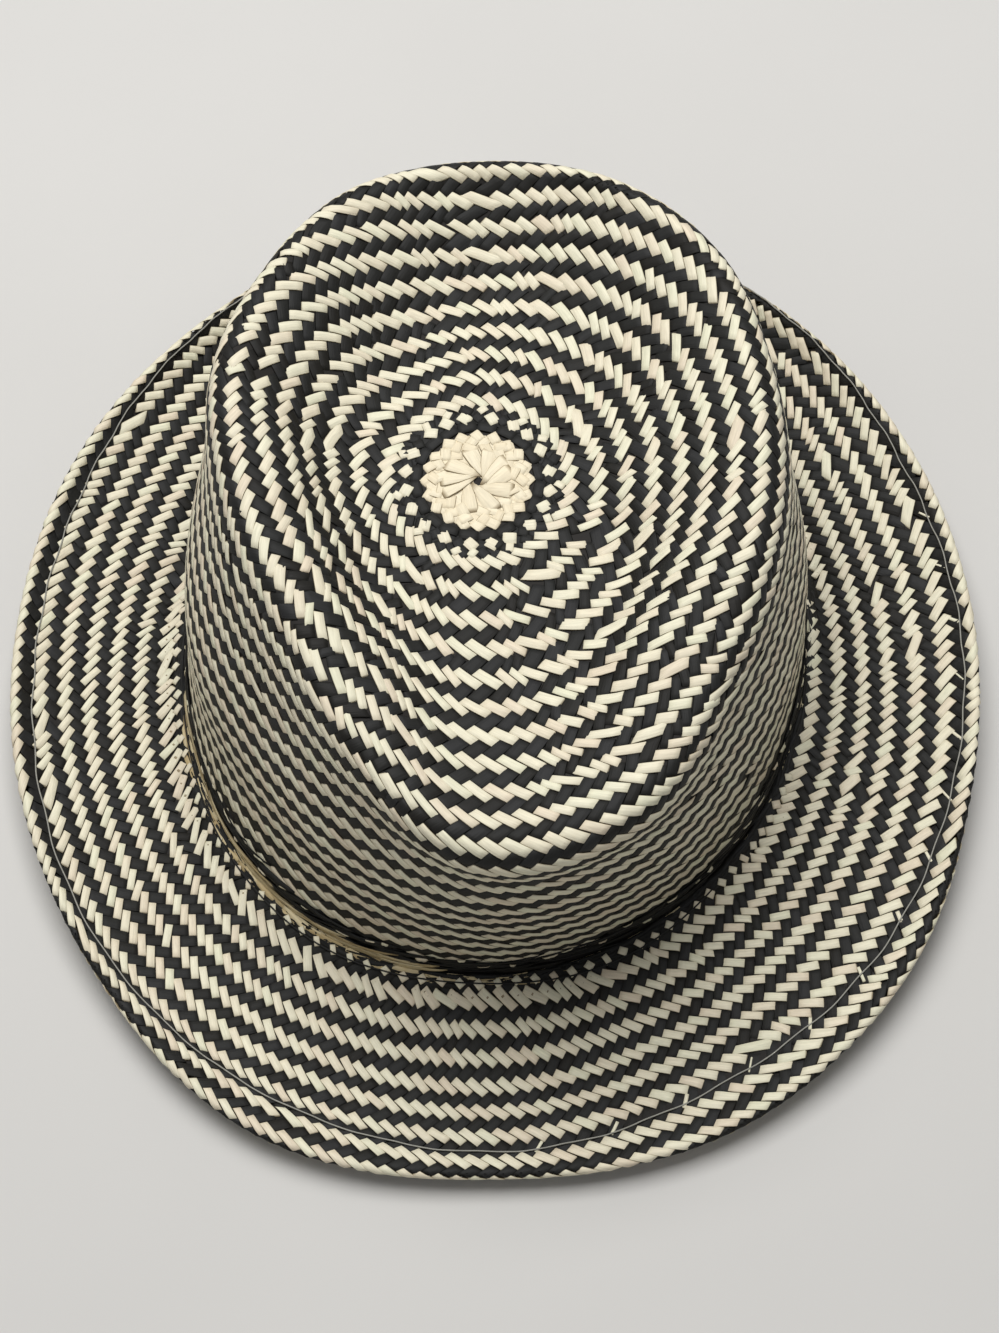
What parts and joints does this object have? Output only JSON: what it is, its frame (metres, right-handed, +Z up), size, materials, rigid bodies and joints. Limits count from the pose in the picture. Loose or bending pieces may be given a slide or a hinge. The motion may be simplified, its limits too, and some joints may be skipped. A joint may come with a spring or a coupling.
{
  "type": "straw fedora",
  "caption": "Woven straw hat with a hollow, dished teardrop crown, a brim that curls up at the sides and back and a folded hem, in cream and black rings.",
  "frame": {"origin": "on the surface that the hat rests on, under the middle of the whole hat", "axes": "+Z up through the crown, -Y towards the wearer's front, +Y towards the back"},
  "size_m": [0.2674, 0.2868, 0.1014],
  "materials": {
    "woven_straw": "bias twill of flat palm straws, undyed cream one way and dyed black the other",
    "natural_straw": "flat undyed palm straw"
  },
  "bodies": {
    "root": {"crown": "woven_straw", "brim": "woven_straw", "base_strand": "natural_straw"}
  },
  "joints": []
}
